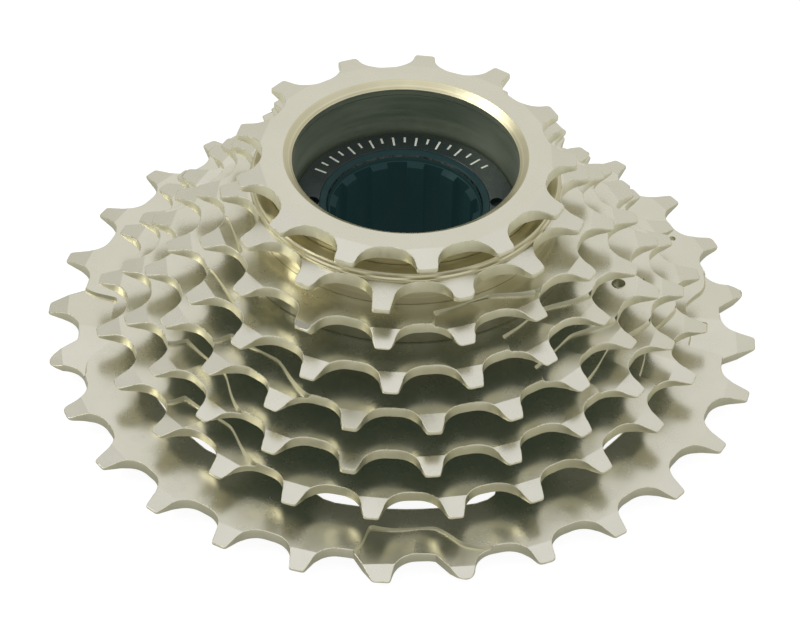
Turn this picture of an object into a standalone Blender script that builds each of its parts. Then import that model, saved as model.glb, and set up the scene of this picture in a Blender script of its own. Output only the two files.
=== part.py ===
"""Eight-speed screw-on bicycle freewheel, lying on its back with the smallest sprocket up.

The inner core screws onto a hub.  The outer body carries the sprockets and turns round the core on
two rows of balls, and two sprung pawls on the core catch the body's inner ratchet when it is driven
clockwise, as seen from above.  The spin axis is +Z, and the core's back face lies at z = 0.
"""

import math

import bmesh
import bpy
from mathutils import Matrix, Vector

MM = 0.001
ROUND = 60
HIDDEN_ROUND = 32

# Rows of sprockets, smallest first: teeth, how far the tips stand past the pitch circle (mm),
# and the direction of one tooth (degrees).
SPROCKETS = (
    (13, 0.5, 84.3),
    (14, 0.9, -121.6),
    (16, 1.0, -117.2),
    (18, 1.5, -112.0),
    (20, 1.2, -118.3),
    (22, 1.2, -115.8),
    (24, 1.4, -124.3),
    (28, 1.6, -1.9),
)
CHAIN_PITCH = 12.7
ROW_PITCH = 5.05
SPROCKET_THICKNESS = 1.9
SMALL_SPROCKET_THICKNESS = 2.3
ROLLER_SEAT_RADIUS = 3.95
SEAT_DEPTH = 4.05
SEAT_SHIFT = 0.75
SEAT_TURNS = (180, 157, 138, 124, 104)
BEVEL_FOOT = SEAT_TURNS.index(124)
TIP_WIDTH = 2.4
FRONT_BEVEL_DEPTH = 0.7
BACK_BEVEL_DEPTH = 0.3
GAP = 0.3

LARGEST_BACK_Z = 2.5
LARGEST_TOP_Z = LARGEST_BACK_Z + SPROCKET_THICKNESS
TOP_Z = LARGEST_TOP_Z + ROW_PITCH * (len(SPROCKETS) - 1)

WINDOW_COUNT = 6
WINDOW_DIRECTION = -88.0
WINDOW_INNER_RADIUS = 31.5
WINDOW_OUTER_RADIUS = 43.6
ARM_HALF_WIDTH = 6.3
WINDOW_CORNER = 3.0

# Outer body.
SPLINE_RADIUS = 24.2
LUG_RADIUS = 25.0
LUG_WIDTH = 5.0
LUG_COUNT = 6
BODY_FLANGE_RADIUS = 26.5
BODY_BACK_Z = 1.2
BODY_FLANGE_TOP_Z = 2.2
SPLINE_TOP_Z = LARGEST_TOP_Z + 5 * ROW_PITCH - 0.25
WIDE_THREAD_RADIUS = 21.3
NARROW_THREAD_RADIUS = 20.3
THREAD_STEP_Z = TOP_Z - 6.55
BODY_TOP_Z = TOP_Z - 2.1
FRONT_BORE_RADIUS = 17.75
WEB_RADIUS = 15.2
WEB_BOTTOM_Z = 23.4
BODY_BORE_RADIUS = 20.2
REAR_BORE_RADIUS = 22.75

# Hubs of the two sprockets that screw onto the body.
SMALLEST_BORE_RADIUS = 18.0
SMALLEST_CHAMFER_RADIUS = 19.5
SMALLEST_HUB_RADIUS = 22.0
SECOND_BOSS_RADIUS = 24.3
SECOND_BOSS_HEIGHT = 1.0
SECOND_RECESS_Z = THREAD_STEP_Z + GAP
SPACER_RADIUS = 27.5

# Ball rows: radius and height of the ball circle.
BALL_RADIUS = 1.5875
RACE_RADIUS = 1.66
FRONT_BALLS = (16.0, TOP_Z - 12.4)
REAR_BALLS = (21.0, 3.65)

# Inner core and bearing cone.
CORE_RADIUS = 19.8
CORE_FLANGE_RADIUS = 22.3
CORE_TOP_Z = TOP_Z - 10.0
CORE_BODY_TOP_Z = 22.9
NECK_RADIUS = 13.5
SEAT_RADIUS = 14.9
SEAT_Z = 23.3
HUB_THREAD_RADIUS = 17.4
HUB_THREAD_DEPTH = 13.5
REMOVER_RADIUS = 10.9
REMOVER_GROOVE_RADIUS = 11.9
REMOVER_GROOVES = 12
REMOVER_DIRECTION = 7.0
REMOVER_GROOVE_HALF_DEG = 8.0
CONE_TOP_Z = TOP_Z - 9.7
CONE_BOTTOM_Z = 24.95
PIN_HOLE_RADIUS = 1.1
PIN_HOLE_CIRCLE = 15.4
PIN_HOLE_DIRECTIONS = (5.0, 185.0)

# Ratchet, pawls and their spring.  Pawl points are (tangential, radial), engaged, and the pawls
# are then folded away from the ratchet, so that the body can turn at rest.
RATCHET_TEETH = 24
RATCHET_TIP_RADIUS = 20.4
RATCHET_ROOT_RADIUS = 22.0
RATCHET_TIP_DEG = 18.66
RATCHET_ROOT_DEG = 15.16
PAWL_DIRECTIONS = (60.0, 240.0)
PAWL_PIVOT_RADIUS = 17.6
PAWL_RISE_DEG = 22.0
PAWL_FOLD_DEG = 16.0
PAWL_HEEL_RADIUS = 1.4
PAWL_LENGTH = 6.4
PAWL_NOSE_HALF = 0.9
PAWL_HEIGHT = 5.4
PAWL_MID_Z = 18.0
POCKET_HEIGHT = 6.0
SPRING_CIRCLE = 19.3
SPRING_WIRE_RADIUS = 0.35
SPRING_SLOT_HALF = 0.6
SPRING_SLOT_RADIUS = 18.5
PAWL_SLOT_RADIUS = 18.4
SPRING_GAP_DEG = 24.0
SPRING_GAP_DIRECTION = 140.0

NICKEL = ("nickel_plate", (0.62, 0.59, 0.50), 0.28, 1.0)
BLACK = ("black_oxide", (0.02, 0.025, 0.027), 0.35, 0.9)
BODY_STEEL = ("body_steel", (0.22, 0.22, 0.19), 0.38, 1.0)
BRIGHT_STEEL = ("bright_steel", (0.55, 0.56, 0.57), 0.18, 1.0)
SPRING_STEEL = ("spring_steel", (0.30, 0.31, 0.34), 0.3, 1.0)
SEAL = ("seal", (0.03, 0.03, 0.03), 0.6, 0.0)


def clear_scene():
    for obj in list(bpy.data.objects):
        bpy.data.objects.remove(obj, do_unlink=True)


def polar(radius, degrees):
    angle = math.radians(degrees)
    return (radius * math.cos(angle), radius * math.sin(angle))


def circle(radius, count=ROUND):
    return [polar(radius, 360 * i / count) for i in range(count)]


def race(balls, first_deg, last_deg, steps=3):
    """Points of a ball race in the (radius, z) plane, round the centre of a ball."""
    points = []
    for i in range(steps + 1):
        r, z = polar(RACE_RADIUS, first_deg + (last_deg - first_deg) * i / steps)
        points.append((balls[0] + r, balls[1] + z))
    return points


def material(look):
    name, colour, roughness, metallic = look
    found = bpy.data.materials.get(name)
    if found:
        return found
    made = bpy.data.materials.new(name)
    made.use_nodes = True
    shader = made.node_tree.nodes["Principled BSDF"]
    shader.inputs["Base Color"].default_value = (*colour, 1)
    shader.inputs["Roughness"].default_value = roughness
    shader.inputs["Metallic"].default_value = metallic
    made.diffuse_color = (*colour, 1)
    return made


def finish(bm, name, look, parent=None, location=(0, 0, 0)):
    """Makes the object of a mesh in millimetres, and closes the bmesh."""
    bmesh.ops.remove_doubles(bm, verts=bm.verts, dist=1e-4)
    bmesh.ops.recalc_face_normals(bm, faces=bm.faces)
    bmesh.ops.transform(bm, matrix=Matrix.Scale(MM, 4), verts=bm.verts)
    mesh = bpy.data.meshes.new(name)
    bm.to_mesh(mesh)
    bm.free()
    mesh.shade_smooth()
    mesh.set_sharp_from_angle(angle=math.radians(30))
    obj = bpy.data.objects.new(name, mesh)
    obj.location = Vector(location) * MM
    obj.parent = parent
    bpy.context.scene.collection.objects.link(obj)
    if look:
        mesh.materials.append(material(look))
    return obj


def pivot(name, location=(0, 0, 0), parent=None):
    """An empty on a joint's axis."""
    empty = bpy.data.objects.new(name, None)
    empty.location = Vector(location) * MM
    empty.parent = parent
    empty.empty_display_size = 0.01
    bpy.context.scene.collection.objects.link(empty)
    return empty


def loop_of(bm, points, z):
    return [bm.verts.new((x, y, z)) for x, y in points]


def edges_of(bm, loop):
    return [bm.edges.get((a, b)) or bm.edges.new((a, b)) for a, b in pairs(loop)]


def pairs(loop):
    return zip(loop, loop[1:] + loop[:1])


def join_loops(bm, upper, lower):
    for (a, b), (c, d) in zip(pairs(upper), pairs(lower)):
        bm.faces.new((a, b, d, c))


def turned(profile, count=ROUND):
    """A ring whose closed (radius, z) profile is spun round the axis."""
    bm = bmesh.new()
    verts = [bm.verts.new((r, 0, z)) for r, z in profile]
    edges = edges_of(bm, verts)
    bmesh.ops.spin(
        bm,
        geom=verts + edges,
        cent=(0, 0, 0),
        axis=(0, 0, 1),
        angle=math.tau,
        steps=count,
        use_merge=True,
    )
    return bm


def prism(outlines, low_z, high_z):
    """One closed prism for each outline."""
    bm = bmesh.new()
    for outline in outlines:
        face = bm.faces.new(loop_of(bm, outline, low_z))
        moved = bmesh.ops.extrude_face_region(bm, geom=[face])["geom"]
        top = [item for item in moved if isinstance(item, bmesh.types.BMVert)]
        bmesh.ops.translate(bm, verts=top, vec=(0, 0, high_z - low_z))
    return bm


def cutter(bm, name, parent=None, location=(0, 0, 0)):
    obj = finish(bm, name, None, parent, location)
    obj.hide_render = True
    obj.display_type = "WIRE"
    return obj


def boolean(obj, other, operation):
    modifier = obj.modifiers.new(other.name, "BOOLEAN")
    modifier.operation = operation
    modifier.solver = "EXACT"
    modifier.object = other


def row_top(index):
    return TOP_Z - ROW_PITCH * index


def turn_point(point, degrees):
    x, y = point
    angle = math.radians(degrees)
    return (
        x * math.cos(angle) - y * math.sin(angle),
        x * math.sin(angle) + y * math.cos(angle),
    )


def gap_side(pitch_radius, tip_radius, half_pitch):
    """Half of a tooth gap, from its root to the corner of the tooth, as (x, y, share).

    Each side of a gap has its own roller seat, an arc whose centre is a little off the middle.
    Share is how far down the tooth's bevel a point lies: 0 on the flat face, 1 at the tip.
    """
    points = []
    for turn in SEAT_TURNS:
        x, y = polar(ROLLER_SEAT_RADIUS, turn)
        points.append((pitch_radius - SEAT_DEPTH + ROLLER_SEAT_RADIUS + x, SEAT_SHIFT + y))
    points.append(polar(tip_radius, half_pitch - math.degrees(TIP_WIDTH / 2 / tip_radius)))
    along = [turn_point(point, -half_pitch)[0] for point in points]
    foot = along[BEVEL_FOOT]
    return [(x, y, max(0, (a - foot) / (along[-1] - foot))) for (x, y), a in zip(points, along)]


def tooth_outline(teeth, allowance, first_tooth):
    """Outline of a sprocket, as (point, share of the bevel), counter-clockwise."""
    half_pitch = 180 / teeth
    pitch_radius = CHAIN_PITCH / 2 / math.sin(math.pi / teeth)
    side = gap_side(pitch_radius, pitch_radius + allowance, half_pitch)
    one_gap = [((x, -y), share) for x, y, share in reversed(side)]
    one_gap += [((x, y), share) for x, y, share in side]
    outline = []
    for tooth in range(teeth):
        middle = first_tooth + half_pitch + tooth * 2 * half_pitch
        outline += [(turn_point(point, middle), share) for point, share in one_gap]
    return outline


def toothed_face(bm, outline, z, depth, holes):
    """One side of a sprocket: the flat face, with its holes, and a bevel on each tooth."""
    verts = [bm.verts.new((x, y, z + depth * share)) for (x, y), share in outline]
    flat = [vert for vert, (_, share) in zip(verts, outline) if share == 0]
    edges = edges_of(bm, flat)
    for hole in holes:
        edges += edges_of(bm, hole)
    bmesh.ops.triangle_fill(bm, use_beauty=True, use_dissolve=False, edges=edges)
    reach = len(SEAT_TURNS) - BEVEL_FOOT
    for i, (_, share) in enumerate(outline):
        if share == 1 and outline[i - 1][1] == 1:
            bm.faces.new([verts[(i + k) % len(verts)] for k in range(-1 - reach, reach + 1)])
    return verts


def sprocket(index, bore, windows=(), thickness=SPROCKET_THICKNESS, parent=None):
    """A toothed plate.  Its bore is a list of (outline, z) from the top face to the bottom face."""
    teeth, allowance, first_tooth = SPROCKETS[index]
    top = row_top(index)
    bottom = top - thickness
    outline = tooth_outline(teeth, allowance, first_tooth)
    bm = bmesh.new()
    bore_loops = [loop_of(bm, points, z) for points, z in bore]
    upper_windows = [loop_of(bm, points, top) for points in windows]
    lower_windows = [loop_of(bm, points, bottom) for points in windows]
    upper = toothed_face(bm, outline, top, -FRONT_BEVEL_DEPTH, [bore_loops[0], *upper_windows])
    lower = toothed_face(bm, outline, bottom, BACK_BEVEL_DEPTH, [bore_loops[-1], *lower_windows])
    join_loops(bm, upper, lower)
    for above, below in zip(bore_loops, bore_loops[1:]):
        join_loops(bm, above, below)
    for above, below in zip(upper_windows, lower_windows):
        join_loops(bm, above, below)
    return finish(bm, f"sprocket_{teeth}t", NICKEL, parent)


def spline_outline():
    """Bore of a sprocket that slides over the body's lugs."""
    bore_radius = SPLINE_RADIUS + GAP
    notch_radius = LUG_RADIUS + GAP
    half = math.degrees((LUG_WIDTH / 2 + GAP) / bore_radius)
    step = 360 / LUG_COUNT
    points = []
    for lug in range(LUG_COUNT):
        middle = lug * step
        for radius, turn in ((bore_radius, -half), (notch_radius, -half), (notch_radius, half), (bore_radius, half)):
            points.append(polar(radius, middle + turn))
        span = step - 2 * half
        for i in range(1, 6):
            points.append(polar(bore_radius, middle + half + span * i / 6))
    return points


def window_outline(direction):
    """An opening between two arms whose sides are parallel, with cut corners."""
    half_step = 180 / WINDOW_COUNT
    points = []
    for radius, side in ((WINDOW_OUTER_RADIUS, 1), (WINDOW_INNER_RADIUS, -1)):
        reach = half_step - math.degrees(math.asin(ARM_HALF_WIDTH / radius))
        inner = radius - side * WINDOW_CORNER
        inner_reach = half_step - math.degrees(math.asin(ARM_HALF_WIDTH / inner))
        cut = math.degrees(WINDOW_CORNER / radius)
        rim = [side * (reach - cut) * (1 - i / 2) for i in range(5)]
        near = (radius - side * 0.3 * WINDOW_CORNER, reach - 0.3 * cut)
        points.append(polar(inner, direction + side * inner_reach))
        points.append(polar(near[0], direction + side * near[1]))
        points += [polar(radius, direction + turn) for turn in rim]
        points.append(polar(near[0], direction - side * near[1]))
        points.append(polar(inner, direction - side * inner_reach))
    return points


def smallest_sprocket(parent):
    top = row_top(0)
    hub_bottom = SECOND_RECESS_Z + GAP
    lip_bottom = BODY_TOP_Z + GAP
    thread = NARROW_THREAD_RADIUS + GAP
    profile = (
        (SMALLEST_CHAMFER_RADIUS, top),
        (SMALLEST_BORE_RADIUS, top - 1.0),
        (SMALLEST_BORE_RADIUS, lip_bottom),
        (thread, lip_bottom),
        (thread, hub_bottom),
        (SMALLEST_HUB_RADIUS, hub_bottom),
        (SMALLEST_HUB_RADIUS, top - SMALL_SPROCKET_THICKNESS),
    )
    bore = [(circle(r), z) for r, z in profile]
    sprocket(0, bore, thickness=SMALL_SPROCKET_THICKNESS, parent=parent)


def second_sprocket(parent):
    top = row_top(1)
    boss_top = top + SECOND_BOSS_HEIGHT
    hub_bottom = row_top(2) + GAP
    thread = WIDE_THREAD_RADIUS + GAP
    profile = (
        (SECOND_BOSS_RADIUS, top),
        (SECOND_BOSS_RADIUS, boss_top),
        (SMALLEST_HUB_RADIUS + GAP, boss_top),
        (SMALLEST_HUB_RADIUS + GAP, SECOND_RECESS_Z),
        (thread, SECOND_RECESS_Z),
        (thread, hub_bottom),
        (SECOND_BOSS_RADIUS, hub_bottom),
        (SECOND_BOSS_RADIUS, top - SMALL_SPROCKET_THICKNESS),
    )
    bore = [(circle(r), z) for r, z in profile]
    sprocket(1, bore, thickness=SMALL_SPROCKET_THICKNESS, parent=parent)


def splined_sprockets(parent):
    windows = [
        window_outline(WINDOW_DIRECTION + 360 / WINDOW_COUNT * i) for i in range(WINDOW_COUNT)
    ]
    last = len(SPROCKETS) - 1
    for index in range(2, len(SPROCKETS)):
        top = row_top(index)
        bore = [(spline_outline(), top), (spline_outline(), top - SPROCKET_THICKNESS)]
        sprocket(index, bore, windows if index == last else (), parent=parent)


def spacers(parent):
    """Plain rings between the splined sprockets, centred on the lugs."""
    inner = LUG_RADIUS + GAP
    for index in range(3, len(SPROCKETS)):
        low = row_top(index) + GAP
        high = row_top(index - 1) - SPROCKET_THICKNESS - GAP
        profile = [(inner, low), (SPACER_RADIUS, low), (SPACER_RADIUS, high), (inner, high)]
        upper_teeth = SPROCKETS[index - 1][0]
        lower_teeth = SPROCKETS[index][0]
        ring = turned(profile, HIDDEN_ROUND)
        finish(ring, f"spacer_{upper_teeth}_{lower_teeth}", NICKEL, parent)


def lug_outlines():
    """Ribs along the outside of the body, which drive the sprockets."""
    outlines = []
    half = LUG_WIDTH / 2
    for lug in range(LUG_COUNT):
        corners = ((SPLINE_RADIUS - 0.6, -half), (LUG_RADIUS, -half), (LUG_RADIUS, half), (SPLINE_RADIUS - 0.6, half))
        outlines.append([turn_point(corner, lug * 360 / LUG_COUNT) for corner in corners])
    return outlines


def ratchet_outline():
    """Saw teeth whose steep, undercut faces catch the pawls."""
    step = 360 / RATCHET_TEETH
    points = []
    for tooth in range(RATCHET_TEETH):
        start = PAWL_DIRECTIONS[0] + tooth * step
        points.append(polar(RATCHET_ROOT_RADIUS, start + RATCHET_ROOT_DEG))
        points.append(polar(RATCHET_TIP_RADIUS, start + RATCHET_TIP_DEG))
    return points


def outer_body(parent):
    profile = [
        (BODY_FLANGE_RADIUS, BODY_BACK_Z),
        (BODY_FLANGE_RADIUS, BODY_FLANGE_TOP_Z),
        (SPLINE_RADIUS, BODY_FLANGE_TOP_Z),
        (SPLINE_RADIUS, SPLINE_TOP_Z),
        (WIDE_THREAD_RADIUS, SPLINE_TOP_Z),
        (WIDE_THREAD_RADIUS, THREAD_STEP_Z),
        (NARROW_THREAD_RADIUS, THREAD_STEP_Z),
        (NARROW_THREAD_RADIUS, BODY_TOP_Z),
        (FRONT_BORE_RADIUS, BODY_TOP_Z),
        *race(FRONT_BALLS, 0, -90),
        (WEB_RADIUS, FRONT_BALLS[1] - RACE_RADIUS),
        (WEB_RADIUS, WEB_BOTTOM_Z),
        (BODY_BORE_RADIUS, WEB_BOTTOM_Z),
        (BODY_BORE_RADIUS, REAR_BALLS[1] + RACE_RADIUS),
        *race(REAR_BALLS, 90, 0),
        (REAR_BORE_RADIUS, BODY_BACK_Z),
    ]
    body = finish(turned(profile), "outer_body", BODY_STEEL, parent)
    lugs = prism(lug_outlines(), BODY_FLANGE_TOP_Z - 0.4, SPLINE_TOP_Z - 0.2)
    boolean(body, cutter(lugs, "lugs"), "UNION")
    teeth = prism([ratchet_outline()], 8.0, WEB_BOTTOM_Z - 0.2)
    boolean(body, cutter(teeth, "ratchet_teeth"), "DIFFERENCE")


def pocket_outline():
    """Hollow in the core that a pawl folds into, in (tangential, radial)."""
    heel = PAWL_HEEL_RADIUS + GAP
    points = [(-1.3, 21.0), (-1.5, PAWL_PIVOT_RADIUS + 0.8)]
    for turn in (180, 225, 270):
        x, y = polar(heel, turn)
        points.append((x, PAWL_PIVOT_RADIUS + y))
    points += [(7.2, 16.9), (7.7, 21.0)]
    return points


def placed_outline(points, direction):
    """Turns (tangential, radial) points to a direction, where tangential is counter-clockwise."""
    return [turn_point((radial, tangential), direction) for tangential, radial in points]


def remover_outline():
    """Grooves of the socket that the freewheel remover fits."""
    points = []
    inner = REMOVER_RADIUS - 0.6
    half = REMOVER_GROOVE_HALF_DEG
    for groove in range(REMOVER_GROOVES):
        middle = REMOVER_DIRECTION + groove * 360 / REMOVER_GROOVES
        for turn in (-half, half):
            ends = [polar(inner, middle + turn * 1.05), polar(REMOVER_GROOVE_RADIUS, middle + turn)]
            points += ends if turn < 0 else reversed(ends)
    return points


def inner_core():
    profile = [
        (HUB_THREAD_RADIUS + 0.6, 0.0),
        (CORE_FLANGE_RADIUS, 0.0),
        (CORE_FLANGE_RADIUS, REAR_BALLS[1] - RACE_RADIUS),
        *race(REAR_BALLS, 270, 180),
        (REAR_BALLS[0] - RACE_RADIUS, 5.5),
        (CORE_RADIUS, 5.8),
        (CORE_RADIUS, PAWL_MID_Z - SPRING_SLOT_HALF),
        (SPRING_SLOT_RADIUS, PAWL_MID_Z - SPRING_SLOT_HALF),
        (SPRING_SLOT_RADIUS, PAWL_MID_Z + SPRING_SLOT_HALF),
        (CORE_RADIUS, PAWL_MID_Z + SPRING_SLOT_HALF),
        (CORE_RADIUS, CORE_BODY_TOP_Z),
        (SEAT_RADIUS, CORE_BODY_TOP_Z),
        (SEAT_RADIUS, SEAT_Z),
        (NECK_RADIUS, SEAT_Z),
        (NECK_RADIUS, CORE_TOP_Z),
        (NECK_RADIUS - 0.8, CORE_TOP_Z),
        (NECK_RADIUS - 1.3, CORE_TOP_Z - 0.5),
        (REMOVER_RADIUS, CORE_TOP_Z - 1.4),
        (REMOVER_RADIUS, HUB_THREAD_DEPTH),
        (HUB_THREAD_RADIUS, HUB_THREAD_DEPTH),
        (HUB_THREAD_RADIUS, 0.6),
    ]
    core = finish(turned(profile), "inner_core", BLACK)
    grooves = prism([remover_outline()], HUB_THREAD_DEPTH - 1, CORE_TOP_Z + 1)
    boolean(core, cutter(grooves, "remover_grooves"), "DIFFERENCE")
    half = POCKET_HEIGHT / 2
    outlines = [placed_outline(pocket_outline(), direction) for direction in PAWL_DIRECTIONS]
    pockets = prism(outlines, PAWL_MID_Z - half, PAWL_MID_Z + half)
    boolean(core, cutter(pockets, "pawl_pockets"), "DIFFERENCE")


def bearing_cone():
    """Black ring that screws onto the core, holds the front balls in and has two spanner holes."""
    inner = NECK_RADIUS + GAP
    rim = FRONT_BORE_RADIUS - GAP
    profile = [
        (inner, CONE_TOP_Z),
        (rim, CONE_TOP_Z),
        (rim, FRONT_BALLS[1] + RACE_RADIUS + 0.05),
        *race(FRONT_BALLS, 90, 180),
        (FRONT_BALLS[0] - RACE_RADIUS, CONE_BOTTOM_Z),
        (inner, CONE_BOTTOM_Z),
    ]
    cone = finish(turned(profile), "bearing_cone", BLACK)
    outlines = []
    for direction in PIN_HOLE_DIRECTIONS:
        x, y = polar(PIN_HOLE_CIRCLE, direction)
        outlines.append([(x + dx, y + dy) for dx, dy in circle(PIN_HOLE_RADIUS, 12)])
    holes = prism(outlines, CONE_TOP_Z - 0.7, CONE_TOP_Z + 1)
    boolean(cone, cutter(holes, "spanner_holes"), "DIFFERENCE")


def shims():
    """Thin washers that set the play of the bearing."""
    inner = NECK_RADIUS + GAP
    outer = SEAT_RADIUS - 0.1
    for name, low, high in (("thick_shim", 23.6, 24.1), ("thin_shim", 24.4, 24.65)):
        profile = [(inner, low), (outer, low), (outer, high), (inner, high)]
        finish(turned(profile, HIDDEN_ROUND), name, BRIGHT_STEEL)


def ball_row(name, balls, parent):
    """The full row of balls as one ring, a little thinner than the balls."""
    profile = []
    for i in range(6):
        r, z = polar(BALL_RADIUS - 0.04, 60 * i)
        profile.append((balls[0] + r, balls[1] + z))
    finish(turned(profile, HIDDEN_ROUND), name, BRIGHT_STEEL, parent)


def pawl_outline():
    """Round heel at the origin, and a nose that rises to the ratchet, in (tangential, radial)."""
    heel = [polar(PAWL_HEEL_RADIUS, turn) for turn in (78, 114, 150, 186, 222, 258, 282)]
    nose = [(PAWL_LENGTH - 0.3, -PAWL_NOSE_HALF), (PAWL_LENGTH, -PAWL_NOSE_HALF + 0.3), (PAWL_LENGTH, PAWL_NOSE_HALF)]
    return [turn_point(point, PAWL_RISE_DEG) for point in heel + nose]


def pawl(name, direction):
    """A folded pawl on its pivot, slotted across its back where the ring spring lies."""
    x, y = polar(PAWL_PIVOT_RADIUS, direction)
    pin = pivot(f"{name}_pivot", (x, y, PAWL_MID_Z))
    pin.rotation_euler.z = math.radians(PAWL_FOLD_DEG)
    half = PAWL_HEIGHT / 2
    flat = placed_outline(pawl_outline(), direction)
    made = finish(prism([flat], -half, half), name, BRIGHT_STEEL, pin)
    slot = [polar(PAWL_SLOT_RADIUS, direction + turn) for turn in range(-12, 31, 6)]
    slot += [polar(PAWL_SLOT_RADIUS + 8, direction + turn) for turn in (30, -12)]
    opening = prism([slot], -SPRING_SLOT_HALF, SPRING_SLOT_HALF)
    boolean(made, cutter(opening, f"{name}_slot", pin, (-x, -y, 0)), "DIFFERENCE")


def pawls():
    for letter, direction in zip("ab", PAWL_DIRECTIONS):
        pawl(f"pawl_{letter}", direction)


def pawl_spring():
    """Open ring of round wire in the core's groove, which lies over the backs of both pawls."""
    curve = bpy.data.curves.new("pawl_spring", "CURVE")
    curve.dimensions = "3D"
    curve.bevel_depth = SPRING_WIRE_RADIUS * MM
    curve.bevel_resolution = 1
    curve.use_fill_caps = True
    spline = curve.splines.new("POLY")
    count = HIDDEN_ROUND
    spline.points.add(count - 1)
    span = 360 - SPRING_GAP_DEG
    for i, point in enumerate(spline.points):
        turn = SPRING_GAP_DIRECTION + SPRING_GAP_DEG / 2 + span * i / (count - 1)
        x, y = polar(SPRING_CIRCLE, turn)
        point.co = (x * MM, y * MM, PAWL_MID_Z * MM, 1)
    obj = bpy.data.objects.new("pawl_spring", curve)
    curve.materials.append(material(SPRING_STEEL))
    bpy.context.scene.collection.objects.link(obj)


def rear_dust_seal(parent):
    inner = CORE_FLANGE_RADIUS + GAP
    low, high = 0.4, BODY_BACK_Z - GAP
    profile = [(inner, low), (26.0, low), (26.0, high), (inner, high)]
    finish(turned(profile), "rear_dust_seal", SEAL, parent)


def main():
    clear_scene()
    inner_core()
    bearing_cone()
    shims()
    pawls()
    pawl_spring()
    ball_row("front_ball_row", FRONT_BALLS, pivot("front_balls_axis"))
    ball_row("rear_ball_row", REAR_BALLS, pivot("rear_balls_axis"))
    driver = pivot("driver_axis")
    outer_body(driver)
    smallest_sprocket(driver)
    second_sprocket(driver)
    splined_sprockets(driver)
    spacers(driver)
    rear_dust_seal(driver)


main()
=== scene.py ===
"""Looks of the screw-on freewheel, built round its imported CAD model.

Lengths in the constants are in millimetres, angles in degrees.  The spin axis is +Z.
"""

import math
from collections import namedtuple

import bmesh
import bpy
from mathutils import Matrix, Vector

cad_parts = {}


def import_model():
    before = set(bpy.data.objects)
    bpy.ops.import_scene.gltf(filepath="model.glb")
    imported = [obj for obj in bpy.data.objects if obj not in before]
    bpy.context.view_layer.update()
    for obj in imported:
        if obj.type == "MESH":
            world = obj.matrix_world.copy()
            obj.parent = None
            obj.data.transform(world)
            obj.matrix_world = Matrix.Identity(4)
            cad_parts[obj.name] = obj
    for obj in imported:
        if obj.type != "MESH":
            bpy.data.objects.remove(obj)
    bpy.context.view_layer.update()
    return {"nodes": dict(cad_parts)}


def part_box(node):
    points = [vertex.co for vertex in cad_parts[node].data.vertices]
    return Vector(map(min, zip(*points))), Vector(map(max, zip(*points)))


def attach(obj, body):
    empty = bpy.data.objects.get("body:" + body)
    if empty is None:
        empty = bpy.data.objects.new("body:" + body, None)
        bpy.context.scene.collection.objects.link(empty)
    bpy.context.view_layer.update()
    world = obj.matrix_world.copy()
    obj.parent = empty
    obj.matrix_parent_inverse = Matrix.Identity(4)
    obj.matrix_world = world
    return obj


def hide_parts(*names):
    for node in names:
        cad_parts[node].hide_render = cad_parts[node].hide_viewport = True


MM = 0.001
HUB_SEGMENTS = 120
RING_SEGMENTS = 144
# Largest angles across an edge that shades smoothly, in general and between two flat faces.
SMOOTH_ANGLE = 32
FLAT_ANGLE = 0.6
# Material slots of a sprocket.
FACE, WALL, ROLLED, TURNED, BORE = range(5)

# Sprockets, smallest first: teeth, how far the tips stand past the pitch circle, direction of a
# tooth, width of the tips, and where the facet of a tooth begins, from the pitch circle.
Row = namedtuple("Row", "teeth allowance first_tooth tip_width facet_foot")
ROWS = (
    Row(13, 0.5, 84.3, 3.1, -3.5),
    Row(14, 0.9, -121.6, 2.7, -3.3),
    Row(16, 1.0, -117.2, 2.4, -2.5),
    Row(18, 1.5, -112.0, 2.4, -2.3),
    Row(20, 1.2, -118.3, 2.3, -2.3),
    Row(22, 1.2, -115.8, 2.3, -2.3),
    Row(24, 1.4, -124.3, 2.3, -2.3),
    Row(28, 1.6, -1.9, 2.4, -2.1),
)
LAST = len(ROWS) - 1
CHAIN_PITCH = 12.7
ROLLER_SEAT_RADIUS = 3.95
SEAT_SHIFT = 0.75
SEAT_DEPTH = 3.75
TIP_CORNER = 0.45
FRONT_FACET_DROP = 0.7
BACK_FACET_DROP = 0.75
EDGE = 0.16

# Teeth cut for shifting.  The sweeps say how far the roller seat runs up the two flanks.
Cut = namedtuple("Cut", "higher wider corner facet_foot low_sweep high_sweep", defaults=(76, 76))
CUT_TEETH = {
    (0, 2): Cut(0.8, 0.0, 0.45, -3.2),
    (0, 3): Cut(0.4, 0.0, 0.45, -3.4),
    (0, 12): Cut(1.0, 0.0, 0.45, -3.2),
    (1, 1): Cut(1.3, 0.1, 0.45, -3.2, 66, 66),
    (1, 2): Cut(-0.6, -0.5, 0.45, -3.4),
    (2, 0): Cut(-0.1, 0.0, 0.45, 0.2),
}
CUT_TEETH.update({(7, tooth): Cut(-0.35, -0.4, 1.0, -0.8, 20) for tooth in (1, 8, 15, 22)})
CUT_TEETH.update({(7, tooth): Cut(0.0, 0.3, 0.45, -1.6, 10) for tooth in (0, 7, 14, 21)})
CUT_TEETH.update({(7, tooth): Cut(-0.25, 0.4, 0.8, -1.9) for tooth in (2, 9, 16, 23)})
# Teeth whose front facet slopes more or less than the others.
FACET_SLOPES = {(2, 1): 1.5, (4, 1): 0.45, (4, 2): 0.5, (5, 1): 0.2}

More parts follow.
